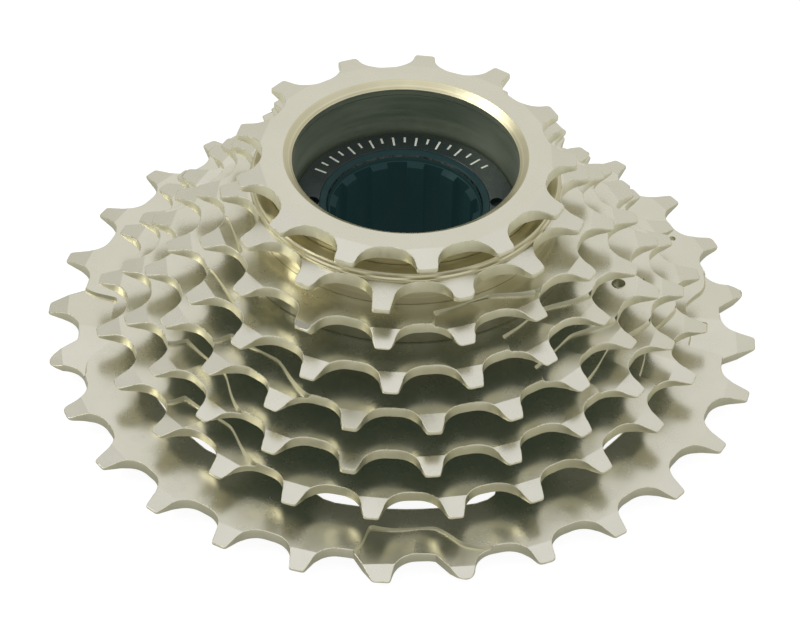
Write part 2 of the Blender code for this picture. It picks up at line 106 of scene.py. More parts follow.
# Shift ramps: a stretch of face over two teeth that is pressed in.  Its inner ridge runs through
# points given as (teeth from its first tooth, distance from the pitch circle).
RIDGE = (
    (-0.33, -4.6), (-0.32, -6.3), (-0.31, -6.9), (-0.24, -7.0), (0.0, -7.3), (0.25, -7.7),
    (0.48, -8.0), (0.62, -8.0), (0.76, -7.3), (0.95, -6.0), (1.12, -4.8), (1.27, -3.9),
)
WIDE_RIDGE = (
    (-0.30, -5.3), (-0.25, -8.5), (-0.23, -9.3), (-0.17, -9.5), (-0.05, -9.2), (0.18, -9.0),
    (0.45, -9.2), (0.70, -9.4), (0.78, -8.9), (0.92, -7.4), (1.02, -5.8), (1.13, -4.9),
    (1.28, -4.4), (1.40, -4.15),
)
# Where the ridge meets the edge at its two ends.
RAMP_ENDS = ((-0.38, -2.9), (1.41, -3.4))
WIDE_RAMP_ENDS = ((-0.39, -3.4), (1.47, -3.7))
# Depths near the ridge's start, at the crease's top and foot, and near the ridge's end.
RAMP_DEPTHS = (0.56, 0.26, 0.08, 0.62)
RIDGE_SLOPE = 0.40

# A shallow cut over one tooth.  Its depths are at its two ends and in the middle of its ridge.
NOTCH_RIDGE = ((-0.36, -4.3), (-0.15, -4.6), (0.10, -4.7), (0.35, -4.5), (0.42, -4.35))
NOTCH_ENDS = ((-0.43, -4.0), (0.49, -4.0))
NOTCH_DEPTHS = (0.12, 0.40, 0.40)

# Pressed stretches: sprocket, their first teeth, ridge, ends and depths, how far the ridge reaches
# in, and the crease as the ridge point it starts from and the place where it meets the edge.
Press = namedtuple("Press", "sprocket teeth ridge ends depths reach crease", defaults=(1.0, None))
PRESSED = (
    Press(2, (2, 10), RIDGE, RAMP_ENDS, RAMP_DEPTHS, 0.90, (5, (0.44, -3.7))),
    Press(3, (3, 12), RIDGE, RAMP_ENDS, RAMP_DEPTHS, 1.0, (5, (0.44, -3.7))),
    Press(4, (4, 9, 14, 19), RIDGE, RAMP_ENDS, RAMP_DEPTHS, 1.0, (5, (0.40, -3.6))),
    Press(5, (5, 12, 20), RIDGE, RAMP_ENDS, RAMP_DEPTHS, 1.0, (5, (0.25, -3.2))),
    Press(6, (7, 15, 23), RIDGE, RAMP_ENDS, RAMP_DEPTHS, 1.0, (5, (0.15, -2.3))),
    Press(7, (0, 7, 14, 21), WIDE_RIDGE, WIDE_RAMP_ENDS, RAMP_DEPTHS, 1.0, (6, (0.38, -3.3))),
    Press(2, (6, 14), NOTCH_RIDGE, NOTCH_ENDS, NOTCH_DEPTHS),
    Press(3, (7, 16), NOTCH_RIDGE, NOTCH_ENDS, NOTCH_DEPTHS),
)

WINDOW_COUNT = 6
WINDOW_DIRECTION = -88.0
WINDOW_INNER_RADIUS = 31.5
WINDOW_OUTER_RADIUS = 43.6
ARM_HALF_WIDTH = 6.3
WINDOW_CORNER = 5.5

SPLINE_BORE_RADIUS = 24.5
LUG_NOTCH_RADIUS = 25.3
LUG_NOTCH_HALF_WIDTH = 2.8
LUG_COUNT = 6
SPACER_RADIUS = 27.6
SPACER_BORE_RADIUS = 25.35
# The lip that closes the lug notches in the front face of the third sprocket.
LIP_RADIUS = 24.0
LIP_THICKNESS = 0.2

# A hole through a face and dents in two others: sprocket, radius, direction, size, and depth of
# a dent.
PIN_HOLE = (4, 35.2, -10.4, 1.05)
PUNCH_MARKS = ((5, 39.1, 1.0, 0.32, 0.25), (7, 51.3, 27.0, 0.6, 0.5))

# Hubs of the two sprockets that screw onto the body.
SMALLEST_BORE_RADIUS = 18.0
SMALLEST_CHAMFER_RADIUS = 19.35
SMALLEST_HUB_RADIUS = 22.0
SMALL_SPROCKET_THICKNESS = 2.3
SECOND_BOSS_RADIUS = 24.3
SECOND_BOSS_HEIGHT = 1.0

# Core, cone and balls.
CORE_FLANGE_RADIUS = 22.3
CORE_RADIUS = 19.8
NECK_RADIUS = 13.5
CONE_OUTER_RADIUS = 17.45
HUB_THREAD_RADIUS = 17.4
HUB_THREAD_DEPTH = 13.5
THREAD_PITCH = 25.4 / 24
THREAD_SECTION = ((0.12, -0.48), (-0.52, -0.07), (-0.52, 0.07), (0.12, 0.48))
REMOVER_RADIUS = 10.9
REMOVER_GROOVES = 12
REMOVER_GROOVE_RADIUS = 11.9
REMOVER_DIRECTION = 7.0
REMOVER_GROOVE_HALF_DEG = 8.0
PIN_HOLE_CIRCLE = 14.75
PIN_HOLE_DIRECTIONS = (2.0, 182.0)
PIN_HOLE_RADIUS = 1.12
BALL_RADIUS = 1.5875
RACE_RADIUS = 1.66
# Radius and height of the middle of each row of balls.
FRONT_BALLS = (16.0, 27.35)
REAR_BALLS = (21.0, 3.65)
FRONT_BALL_COUNT = 30
REAR_BALL_COUNT = 40
PAWL_DIRECTIONS = (60.0, 240.0)
PAWL_PIVOT_RADIUS = 17.6
PAWL_MID_Z = 18.0
POCKET_HALF_HEIGHT = 3.0
RATCHET_TEETH = 24

# White ticks on the cone, a long and a short one in turn.
TICK_PAIRS = 9
TICK_START = 40.0
TICK_STEP = 13.6
TICK_INNER_RADII = (15.2, 14.4)
TICK_OUTER_RADIUS = 16.5
TICK_HALF_ANGLE = 0.5953

# Outer body.
BODY_FLANGE_RADIUS = 26.5
SPLINE_RADIUS = 24.2
LUG_RADIUS = 25.0
LUG_HALF_WIDTH = 2.5
BODY_STEP_DROP = 6.55
BODY_WEB_HEIGHT = 23.4
RATCHET_BOTTOM = 8.0
# Valley and crest of a ratchet tooth: radius, and how far it lies past the first pawl.
RATCHET_CORNERS = ((22.0, 15.16), (20.4, 18.66))
FRONT_BORE_RADIUS = SMALLEST_BORE_RADIUS - 0.03

# Camera: it looks at the axis from the front.
CAMERA_ELEVATION = 41.712
CAMERA_ROLL = 1.637
CAMERA_DISTANCE = 520.0
CAMERA_LENS = 142.0
CAMERA_SHIFT = (-0.0016, 0.01355)

# Light: sky colours from the horizon up, and how the sky dims to the front, left and right.
SKY = ((0.0, (0.84, 0.84, 0.83)), (0.6, (0.93, 0.93, 0.93)), (0.9, (1.10, 1.12, 1.22)))
FRONT_DIMMING = (-0.75, -0.05, 0.45, 1.0)
LEFT_DIMMING = (-0.42, -0.12, 0.72, 1.0)
RIGHT_DIMMING = (0.02, 0.20, 1.0, 0.92)
FLOOR_GLOW = 0.93
# The floor as the metal mirrors it: two radii, and the glow inside the first and past the second.
FLOOR_SHADE = (46.0, 75.0, 0.12, 0.72)
# Colour of a faint glow painted into some metals: painted light that lifts their deepest shadows.
PAINTED_GLOW = (0.010, 0.014, 0.010)


def polar(radius, degrees):
    """The point at a radius in a direction."""
    angle = math.radians(degrees)
    return (radius * math.cos(angle), radius * math.sin(angle))


def turn_point(point, degrees):
    x, y = point
    angle = math.radians(degrees)
    c, s = math.cos(angle), math.sin(angle)
    return (x * c - y * s, x * s + y * c)


def circle(radius, count=HUB_SEGMENTS):
    return [polar(radius, 360 * i / count) for i in range(count)]


def arc(radius, start, end, steps):
    return [polar(radius, start + (end - start) * i / steps) for i in range(steps + 1)]


def top_of(node):
    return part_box(node)[1].z / MM


def bottom_of(node):
    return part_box(node)[0].z / MM


def pairs(loop):
    """Each item of a closed loop with the next one."""
    return zip(loop, loop[1:] + loop[:1])


def offset(points, distance):
    """Moves a counter-clockwise outline to its left, which is inward, by a distance."""
    moved = []
    for i, (x, y) in enumerate(points):
        before = Vector((x, y)) - Vector(points[i - 1])
        after = Vector(points[(i + 1) % len(points)]) - Vector((x, y))
        normals = [Vector((-d.y, d.x)).normalized() for d in (before, after)]
        middle = (normals[0] + normals[1]).normalized()
        stretch = max(0.6, middle.dot(normals[0]))
        moved.append((x + middle.x * distance / stretch, y + middle.y * distance / stretch))
    return moved


def add_loop(bm, points, heights):
    """Adds the points of an outline, all at one height or each at its own."""
    if not hasattr(heights, "__len__"):
        heights = [heights] * len(points)
    return [bm.verts.new((x, y, z)) for (x, y), z in zip(points, heights)]


def join_loops(bm, upper, lower, slot):
    """Makes the strip of faces between two loops of points."""
    for (a, b), (c, d) in zip(pairs(upper), pairs(lower)):
        bm.faces.new((a, b, d, c)).material_index = slot


def rounded_wall(points, top, bottom, tops=None, bottoms=None, edge=EDGE):
    """Loops of a wall from its top face to its bottom face, with both edges rounded.

    tops and bottoms give a height for each point where the edge isn't level.
    """
    tops = tops or [top] * len(points)
    bottoms = bottoms or [bottom] * len(points)
    quarter_round = [(1.0, 0.0), (0.29, 0.29), (0.0, 1.0)]
    loops = []
    for inward, down in quarter_round:
        loops.append((offset(points, edge * inward), [z - edge * down for z in tops]))
    for inward, up in reversed(quarter_round):
        loops.append((offset(points, edge * inward), [z + edge * up for z in bottoms]))
    return loops


def fill_face(bm, loops):
    """Fills a flat face between the first loop and the holes, and returns its faces."""
    edges = []
    for loop in loops:
        for a, b in pairs(loop):
            edges.append(bm.edges.get((a, b)) or bm.edges.new((a, b)))
    made = bmesh.ops.triangle_fill(bm, use_beauty=True, use_dissolve=False, edges=edges)
    return [item for item in made["geom"] if isinstance(item, bmesh.types.BMFace)]


def soft_edges(bm):
    """Indices of the edges that shade smoothly.  Between two flat faces only a level one does."""
    soft = set()
    for edge in bm.edges:
        if len(edge.link_faces) == 2:
            flat = all(face.material_index == FACE for face in edge.link_faces)
            if edge.calc_face_angle(0) < math.radians(FLAT_ANGLE if flat else SMOOTH_ANGLE):
                soft.add(edge.index)
    return soft


def corner_normal(face, vert, soft):
    """Normal at a corner of a face: its own if it's flat, else shared across the soft edges."""
    if face.material_index == FACE:
        return face.normal.copy()
    group, pending = {face}, [face]
    while pending:
        current = pending.pop()
        for edge in vert.link_edges:
            if edge.index in soft and current in edge.link_faces:
                fresh = [other for other in edge.link_faces if other not in group]
                group.update(fresh)
                pending += fresh
    flats = [other for other in group if other.material_index == FACE]
    total = Vector()
    for other in flats or group:
        total += other.normal * math.sqrt(other.calc_area())
    return total.normalized()


def fan_normals(mesh):
    """Sets custom normals, so that large flat faces stay flat and the walls shade smoothly."""
    bm = bmesh.new()
    bm.from_mesh(mesh)
    bm.normal_update()
    soft = soft_edges(bm)
    normals = [corner_normal(face, loop.vert, soft) for face in bm.faces for loop in face.loops]
    for edge in bm.edges:
        edge.smooth = edge.index in soft
    bm.to_mesh(mesh)
    bm.free()
    mesh.shade_smooth()
    for edge in mesh.edges:
        edge.use_edge_sharp = edge.index not in soft
    mesh.normals_split_custom_set(normals)


def new_piece(bm, name, materials=(), recalc=True):
    """Makes a piece from a mesh in millimetres."""
    bmesh.ops.remove_doubles(bm, verts=bm.verts, dist=1e-4)
    if recalc:
        bmesh.ops.recalc_face_normals(bm, faces=bm.faces)
    bmesh.ops.transform(bm, matrix=Matrix.Scale(MM, 4), verts=bm.verts)
    mesh = bpy.data.meshes.new(name)
    bm.to_mesh(mesh)
    bm.free()
    obj = bpy.data.objects.new(name, mesh)
    bpy.context.scene.collection.objects.link(obj)
    for each in materials:
        mesh.materials.append(each)
    return obj


def place(obj, look_name, slot, body, *nodes):
    """Shades a piece, puts it on a body and lets it stand in for its CAD nodes."""
    obj.data.materials.append(look(look_name))
    obj.data.shade_smooth()
    obj.data.set_sharp_from_angle(angle=math.radians(SMOOTH_ANGLE))
    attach(obj, body)
    if nodes:
        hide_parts(*nodes)


def apply_cutters(obj, cutters, operation="DIFFERENCE"):
    """Applies Booleans to an object at once and removes the cutters."""
    for other in cutters:
        modifier = obj.modifiers.new(other.name, "BOOLEAN")
        modifier.operation = operation
        modifier.solver = "EXACT"
        modifier.object = other
    bpy.context.view_layer.update()
    evaluated = obj.evaluated_get(bpy.context.evaluated_depsgraph_get())
    mesh = bpy.data.meshes.new_from_object(evaluated)
    obj.modifiers.clear()
    obj.data = mesh
    for other in cutters:
        bpy.data.objects.remove(other, do_unlink=True)


# ---------------------------------------------------------------- materials


class Nodes:
    """Short calls for building the node tree of a material or the world."""

    def __init__(self, owner, shader):
        owner.use_nodes = True
        self.tree = owner.node_tree
        self.shader = self.tree.nodes[shader]

    def add(self, kind, **inputs):
        node = self.tree.nodes.new(kind)
        for key, value in inputs.items():
            if key in node.inputs:
                node.inputs[key].default_value = value
            else:
                setattr(node, key, value)
        return node

    def link(self, source, target):
        self.tree.links.new(source, target)

    def coordinates(self, scale=(1, 1, 1)):
        source = self.add("ShaderNodeTexCoord")
        mapping = self.add("ShaderNodeMapping")
        mapping.inputs["Scale"].default_value = scale
        self.link(source.outputs["Object"], mapping.inputs["Vector"])
        return mapping.outputs["Vector"]

    def distance(self, scale=(1, 1, 1)):
        """Distance from the origin, with each axis scaled first."""
        node = self.add("ShaderNodeVectorMath", operation="LENGTH")
        self.link(self.coordinates(scale), node.inputs[0])
        return node.outputs["Value"]

    def noise(self, scale, detail=3.0, roughness=0.55, stretch=(1, 1, 1)):
        node = self.add("ShaderNodeTexNoise", Scale=scale, Detail=detail, Roughness=roughness)
        self.link(self.coordinates(stretch), node.inputs["Vector"])
        return node.outputs["Fac"]

    def ramp(self, source, low, high, start=0.35, end=0.65):
        """Maps a value to a range of values."""
        limits = {"From Min": start, "From Max": end, "To Min": low, "To Max": high}
        node = self.add("ShaderNodeMapRange", **limits)
        self.link(source, node.inputs["Value"])
        return node.outputs["Result"]

    def colours(self, source, *stops):
        node = self.add("ShaderNodeValToRGB")
        elements = node.color_ramp.elements
        while len(elements) < len(stops):
            elements.new(0.5)
        for element, (place, colour) in zip(elements, stops):
            element.position = place
            element.color = (*colour, 1)
        self.link(source, node.inputs["Fac"])
        return node.outputs["Color"]

    def bump(self, source, strength, distance):
        node = self.add("ShaderNodeBump", Strength=strength, Distance=distance)
        self.link(source, node.inputs["Height"])
        return node.outputs["Normal"]

    def paint_glow(self, colour=PAINTED_GLOW):
        """Paints a faint glow in: painted light that lifts the deepest shadows, as stray light does."""
        self.shader.inputs["Emission Color"].default_value = (*colour, 1)
        self.shader.inputs["Emission Strength"].default_value = 1.0

    def finish(self, colour=None, roughness=None, normal=None, metallic=1.0):
        self.shader.inputs["Metallic"].default_value = metallic
        for key, value in (("Base Color", colour), ("Roughness", roughness), ("Normal", normal)):
            if value is None:
                continue
            if isinstance(value, float):
                self.shader.inputs[key].default_value = value
            else:
                self.link(value, self.shader.inputs[key])


def nickel_face(m):
    """Satin nickel on rolled steel: faint mottling and fine grain."""
    mottle = m.noise(90, 4, 0.6)
    grain = m.noise(2600, 2, 0.6)
    colour = m.colours(mottle, (0.3, (0.622, 0.596, 0.482)), (0.7, (0.655, 0.626, 0.516)))
    roughness = m.ramp(m.noise(240, 3), 0.22, 0.29)
    # Painted glow: a faint emission that lifts the darkest reflections of the face.
    m.paint_glow()
    m.finish(colour, roughness, m.bump(grain, 0.05, 0.00002))


def nickel_wall(m):
    """Nickel over a punched edge, a little rougher and more golden."""
    streaks = m.noise(900, 2, 0.5, stretch=(1, 1, 0.12))
    colour = m.colours(m.noise(160, 3), (0.3, (0.575, 0.553, 0.38)), (0.7, (0.68, 0.65, 0.48)))
    roughness = m.ramp(streaks, 0.36, 0.50)
    # Painted glow: a faint emission that lifts the darkest reflections of the walls.
    m.paint_glow()
    m.finish(colour, roughness, m.bump(streaks, 0.12, 0.00003))


def nickel_edge(m):
    """Burnished nickel where an edge is rolled over."""
    nicks = m.noise(700, 4, 0.7)
    colour = m.colours(nicks, (0.3, (0.50, 0.48, 0.33)), (0.6, (0.68, 0.65, 0.50)))
    m.finish(colour, m.ramp(nicks, 0.22, 0.40), m.bump(nicks, 0.3, 0.00004))


def turned_nickel(m):
    """Plated surface with the fine grooves of a lathe round the axis."""
    split = m.add("ShaderNodeSeparateXYZ")
    m.link(m.coordinates(), split.inputs["Vector"])
    section = m.add("ShaderNodeCombineXYZ")
    m.link(m.distance((1, 1, 0)), section.inputs["X"])
    m.link(split.outputs["Z"], section.inputs["Y"])
    grooves = m.add("ShaderNodeTexNoise", Scale=4200, Detail=4, Roughness=0.7)
    m.link(section.outputs["Vector"], grooves.inputs["Vector"])
    lines = grooves.outputs["Fac"]
    colour = m.colours(lines, (0.3, (0.50, 0.46, 0.29)), (0.7, (0.66, 0.62, 0.43)))
    roughness = m.ramp(m.noise(200, 3), 0.28, 0.40)
    m.finish(colour, roughness, m.bump(lines, 0.30, 0.00004))


def honed_bore(m):
    """Dull steel with the streaks of a boring tool."""
    streaks = m.noise(900, 4, 0.65, stretch=(0.08, 0.08, 1))
    colour = m.colours(streaks, (0.3, (0.38, 0.41, 0.33)), (0.7, (0.50, 0.53, 0.43)))
    # Painted glow: a faint emission that lifts the darkest shade in the bore.
    m.paint_glow((0.015, 0.019, 0.012))
    m.finish(colour, m.ramp(streaks, 0.42, 0.55), m.bump(streaks, 0.35, 0.00005))


def black_oxide(m):
    """Oiled black oxide with a faint blue-green cast."""
    mottle = m.noise(300, 4, 0.6)
    colour = m.colours(mottle, (0.3, (0.008, 0.018, 0.018)), (0.7, (0.016, 0.028, 0.026)))
    roughness = m.ramp(m.noise(500, 3), 0.22, 0.38)
    m.finish(colour, roughness, m.bump(m.noise(1500, 2), 0.12, 0.00003), metallic=0.0)


def shaded_socket_oxide(m):
    """Black oxide painted darker than black_oxide, as painted shade in the hollow of the socket."""
    mottle = m.noise(400, 4, 0.6)
    colour = m.colours(mottle, (0.3, (0.005, 0.013, 0.014)), (0.7, (0.008, 0.018, 0.019)))
    m.shader.inputs["Specular IOR Level"].default_value = 0.15
    # Painted glow: a faint blue-green emission in the darkest parts of the socket.
    m.paint_glow((0.006, 0.016, 0.016))
    m.shader.inputs["Specular Tint"].default_value = (0.62, 1.0, 0.98, 1)
    normal = m.bump(m.noise(1500, 2), 0.12, 0.00003)
    m.finish(colour, m.ramp(m.noise(500, 3), 0.26, 0.40), normal, metallic=0.0)


def body_steel(m):
    lines = m.noise(3000, 3, 0.6, stretch=(0.03, 0.03, 1))
    colour = m.colours(m.noise(200, 3), (0.3, (0.27, 0.28, 0.22)), (0.7, (0.36, 0.37, 0.29)))
    m.finish(colour, m.ramp(lines, 0.28, 0.42), m.bump(lines, 0.3, 0.00005))


def worn_oxide(m):
    """Black oxide rubbed through to the steel."""
    wear = m.noise(1200, 4, 0.7)
    colour = m.colours(wear, (0.35, (0.03, 0.045, 0.045)), (0.7, (0.16, 0.17, 0.16)))
    m.finish(colour, m.ramp(wear, 0.25, 0.4), m.bump(wear, 0.2, 0.00003))


def spacer_plate(m):
    """Dull plated steel with faint rolling marks."""
    marks = m.noise(900, 3, 0.6, stretch=(1, 1, 0.1))
    colour = m.colours(m.noise(200, 3), (0.3, (0.20, 0.20, 0.14)), (0.7, (0.28, 0.28, 0.20)))
    m.finish(colour, m.ramp(marks, 0.30, 0.45), m.bump(marks, 0.25, 0.00004))


def bright_steel(m):
    colour = m.colours(m.noise(300, 3), (0.3, (0.55, 0.56, 0.57)), (0.7, (0.63, 0.64, 0.65)))
    roughness = m.ramp(m.noise(900, 3), 0.10, 0.18)
    m.finish(colour, roughness, m.bump(m.noise(4000, 2), 0.05, 0.00001))


def spring_steel(m):
    colour = m.colours(m.noise(500, 3), (0.3, (0.30, 0.31, 0.34)), (0.7, (0.38, 0.39, 0.42)))
    m.finish(colour, m.ramp(m.noise(900, 3), 0.2, 0.32))


def seal_rubber(m):
    grain = m.noise(1800, 3, 0.6)
    colour = m.colours(m.noise(250, 3), (0.3, (0.018, 0.018, 0.018)), (0.7, (0.035, 0.035, 0.034)))
    m.finish(colour, m.ramp(grain, 0.5, 0.7), m.bump(grain, 0.3, 0.00004), metallic=0.0)


def white_ink(m):
    grain = m.noise(2500, 3, 0.6)
    colour = m.colours(grain, (0.3, (0.62, 0.63, 0.52)), (0.6, (0.80, 0.81, 0.70)))
    m.finish(colour, m.ramp(grain, 0.45, 0.6), metallic=0.0)


# ---------------------------------------------------------------- sprockets


def pitch_radius(index):
    return CHAIN_PITCH / 2 / math.sin(math.pi / ROWS[index].teeth)


def curve(start, corner, end, steps):
    """Points of an arc-like curve that replaces a corner."""
    points = []
    for i in range(steps + 1):
        t = i / steps
        points.append(tuple(start * (1 - t) ** 2 + corner * 2 * t * (1 - t) + end * t * t))
    return points


def tooth_side(index, tooth, low):
    """Half of a tooth gap and half of the tooth beside it, from the root to the tip.

    low says whether it's the tooth's flank at the lower angle.  Returns (points, index of the
    facet's foot).  x runs outward through the middle of the gap.
    """
    row = ROWS[index]
    radius = pitch_radius(index)
    half_pitch = 180 / row.teeth
    cut = CUT_TEETH.get((index, tooth % row.teeth), Cut(0, 0, TIP_CORNER, row.facet_foot))
    sweep = cut.low_sweep if low else cut.high_sweep
    tip_radius = radius + row.allowance + cut.higher
    centre = radius - SEAT_DEPTH + ROLLER_SEAT_RADIUS
    seat = arc(ROLLER_SEAT_RADIUS, 180, 180 - sweep, 9)
    points = [(centre + x, SEAT_SHIFT + y) for x, y in seat]
    half_tip = math.degrees((row.tip_width + cut.wider) / 2 / tip_radius)
    corner = Vector(polar(tip_radius, half_pitch - half_tip))
    start = Vector(points[-1])
    flank_end = corner + (start - corner).normalized() * min(cut.corner, (start - corner).length / 2)
    points.append(tuple((start + flank_end) / 2))
    tip_start = Vector(polar(tip_radius, half_pitch - half_tip + math.degrees(cut.corner / tip_radius)))
    points += curve(flank_end, corner, tip_start, 3)
    foot = radius + cut.facet_foot
    along = [turn_point(point, -half_pitch)[0] for point in points]
    after = next(i for i, value in enumerate(along) if value > foot)
    share = (foot - along[after - 1]) / (along[after] - along[after - 1])
    before, behind = Vector(points[after - 1]), Vector(points[after])
    if share < 0.15:
        return points, after - 1
    if share > 0.85:
        return points, after
    points.insert(after, tuple(before.lerp(behind, share)))
    return points, after


def sprocket_outline(index):
    """Counter-clockwise outline, and for each tooth the indices of its facet's two feet."""
    row = ROWS[index]
    half_pitch = 180 / row.teeth
    outline, feet = [], []
    for tooth in range(row.teeth):
        middle = row.first_tooth + half_pitch + tooth * 2 * half_pitch
        near, near_foot = tooth_side(index, tooth, low=False)
        far, far_foot = tooth_side(index, tooth + 1, low=True)
        start = len(outline)
        gap = [(x, -y) for x, y in reversed(near)] + far
        outline += [turn_point(point, middle) for point in gap]
        feet.append((start + len(near) - 1 - near_foot, start + len(near) + far_foot))
    facets = []
    for tooth in range(row.teeth):
        facets.append((feet[tooth - 1][1], feet[tooth][0], row.first_tooth + tooth * 2 * half_pitch))
    return outline, facets


def between(first, last, count):
    """Indices of the outline points that lie strictly between two others, going round."""
    return [i % count for i in range(first + 1, first + (last - first) % count)]


def inside_facets(facets, count):
    """Indices of the outline points that lie past the feet of the facets."""
    return {i for first, last, _ in facets for i in between(first, last, count)}


def facet_heights(outline, facets, drops):
    """How far each point of the outline lies below the flat face."""
    heights = [0.0] * len(outline)
    for (first, last, direction), drop in zip(facets, drops):
        axis = Vector(polar(1, direction))
        foot = (Vector(outline[first]).dot(axis) + Vector(outline[last]).dot(axis)) / 2
        inside = between(first, last, len(outline))
        tip = max(Vector(outline[i]).dot(axis) for i in inside)
        for i in inside:
            along = Vector(outline[i]).dot(axis)
            heights[i] = drop * max(0.0, along - foot) / (tip - foot)
    return heights


def smoothed(points, rounds=2):
    """Cuts the corners of a polyline, and keeps its ends."""
    for _ in range(rounds):
        cut = [points[0]]
        for a, b in zip(points, points[1:]):
            cut += [a.lerp(b, 0.25), a.lerp(b, 0.75)]
        points = [*cut, points[-1]]
    return points


def plane(corners):
    """The flat function of (x, y) that takes a value at each of three (point, value) corners."""
    (a, at_a), (b, at_b), (c, at_c) = corners
    ab, ac = b - a, c - a
    area = ab.cross(ac)

    def value(point):
        offset_from_a = Vector(point) - a
        along_b = offset_from_a.cross(ac) / area
        along_c = ab.cross(offset_from_a) / area
        return at_a + (at_b - at_a) * along_b + (at_c - at_a) * along_c

    return value


class Recess:
    """A pressed-in stretch of a sprocket's front face, between its edge and a curved ridge."""

    def __init__(self, press, tooth, outline, facets):
        self.index = press.sprocket
        self.tooth = tooth
        self.outline = outline
        self.usable = sorted(set(range(len(outline))) - inside_facets(facets, len(outline)))
        edge = press.ends[0][1]
        line = [self.place(t, edge + (u - edge) * press.reach) for t, u in press.ridge]
        self.start, self.end = (self.nearest(*end) for end in press.ends)
        self.foot = self.nearest(*press.crease[1]) if press.crease else None
        first, last = (Vector(outline[i]) for i in (self.start, self.end))
        self.upper = smoothed([first, *line, last])[1:-1]
        self.middle = None
        if press.crease:
            top = line[press.crease[0]]
            self.middle = min(range(len(self.upper)), key=lambda i: (self.upper[i] - top).length)
        self.set_depths(press.depths)

    def place(self, teeth, distance):
        """A point some teeth on from the first one, at a distance from the pitch circle."""
        row = ROWS[self.index]
        direction = row.first_tooth + (self.tooth + teeth) * 360 / row.teeth
        return Vector(polar(pitch_radius(self.index) + distance, direction))

    def nearest(self, teeth, distance):
        """Index of the nearest point of the outline, outside the facets."""
        goal = self.place(teeth, distance)
        return min(self.usable, key=lambda i: (Vector(self.outline[i]) - goal).length)

    def holds(self, i):
        """Whether a point of the outline lies strictly between the ends."""
        count = len(self.outline)
        return 0 < (i - self.start) % count < (self.end - self.start) % count

    def set_depths(self, depths):
        """Fits one sloping plane to the depths, or one on each side of the crease."""
        if self.middle is None:
            ends = [Vector(self.outline[i]) for i in (self.start, self.end)]
            centre = self.upper[len(self.upper) // 2]
            self.planes = [plane(list(zip((ends[0], ends[1], centre), depths)))]
            return
        left, top, foot, right = depths
        crease_top = (self.upper[self.middle], top)
        crease_foot = (Vector(self.outline[self.foot]), foot)
        first = (self.upper[len(self.upper) // 8], left)
        last = (self.upper[(self.middle + 2 * len(self.upper)) // 3], right)
        self.planes = [plane([crease_top, crease_foot, first]), plane([crease_top, crease_foot, last])]

    def depth(self, i):
        count = len(self.outline)
        past = self.foot is not None and (i - self.start) % count > (self.foot - self.start) % count
        return max(0.03, self.planes[-1 if past else 0](self.outline[i]))

    def ridge_depth(self, i):
        past = self.middle is not None and i > self.middle
        return max(0.02, self.planes[-1 if past else 0](self.upper[i]))

    def add_ridge(self, bm, top):
        """Makes the points of the ridge's two lines: one in the face, one at the bottom."""
        centre = sum((Vector(self.outline[i]) for i in (self.start, self.end)), Vector((0, 0))) / 2
        self.high = [bm.verts.new((*point, top)) for point in self.upper]
        self.low = []
        for i, point in enumerate(self.upper):
            before = self.upper[max(0, i - 1)]
            after = self.upper[min(len(self.upper) - 1, i + 1)]
            along = (after - before).normalized()
            outward = Vector((along.y, -along.x))
            if outward.dot(centre - point) < 0:
                outward = -outward
            depth = self.ridge_depth(i)
            self.low.append(bm.verts.new((*(point + outward * depth * RIDGE_SLOPE), top - depth)))

    def fill(self, bm, loop, skipped):
        """Makes the flat panels of the recess and the sloping strip along its ridge."""
        count = len(loop)
        span = (self.end - self.start) % count
        outer = [(self.start + i) % count for i in range(span + 1)]
        outer = [i for i in outer if i not in skipped]
        if self.middle is None:
            panels = [[loop[i] for i in outer] + self.low[::-1]]
        else:
            split = outer.index(self.foot)
            panels = [
                [loop[i] for i in outer[: split + 1]] + self.low[: self.middle + 1][::-1],
                [loop[i] for i in outer[split:]] + self.low[self.middle :][::-1],
            ]
        for panel in panels:
            for face in fill_face(bm, [panel]):
                face.material_index = FACE
        first, last = loop[self.start], loop[self.end]
        high = [first, *self.high, last]
        low = [first, *self.low, last]
        for (a, b), (c, d) in zip(zip(high, high[1:]), zip(low, low[1:])):
            corners = [a, b, d, c]
            corners = [vert for i, vert in enumerate(corners) if vert not in corners[:i]]
            bm.faces.new(corners).material_index = WALL


def recesses(index, outline, facets):
    presses = [press for press in PRESSED if press.sprocket == index]
    return [Recess(press, tooth, outline, facets) for press in presses for tooth in press.teeth]


def toothed_side(bm, loop, facets, holes, pressed=()):
    """Fills one side of a sprocket: a facet on each tooth, pressed stretches and the flat face."""
    skipped = inside_facets(facets, len(loop))
    for first, last, _ in facets:
        corners = (first, *between(first, last, len(loop)), last)
        bm.faces.new([loop[i] for i in corners]).material_index = FACE
    flat = []
    for i, vert in enumerate(loop):
        if i not in skipped and not any(recess.holds(i) for recess in pressed):
            flat.append(vert)
        for recess in pressed:
            if recess.start == i:
                flat += recess.high
    for face in fill_face(bm, [flat, *holes]):
        face.material_index = FACE
    for recess in pressed:
        recess.fill(bm, loop, skipped)


def small_circle(radius, direction, size, count=24):
    x, y = polar(radius, direction)
    return [(x + dx, y + dy) for dx, dy in circle(size, count)]


def add_punch_marks(bm, index, top):
    """Shallow round dents in the front face.  Returns the loops of their rims."""
    rims = []
    for row, radius, direction, size, depth in PUNCH_MARKS:
        if row == index:
            rims.append(add_loop(bm, small_circle(radius, direction, size), top))
            bottom = add_loop(bm, small_circle(radius, direction, size * 0.5), top - depth)
            join_loops(bm, rims[-1], bottom, WALL)
            bm.faces.new(bottom).material_index = WALL
    return rims


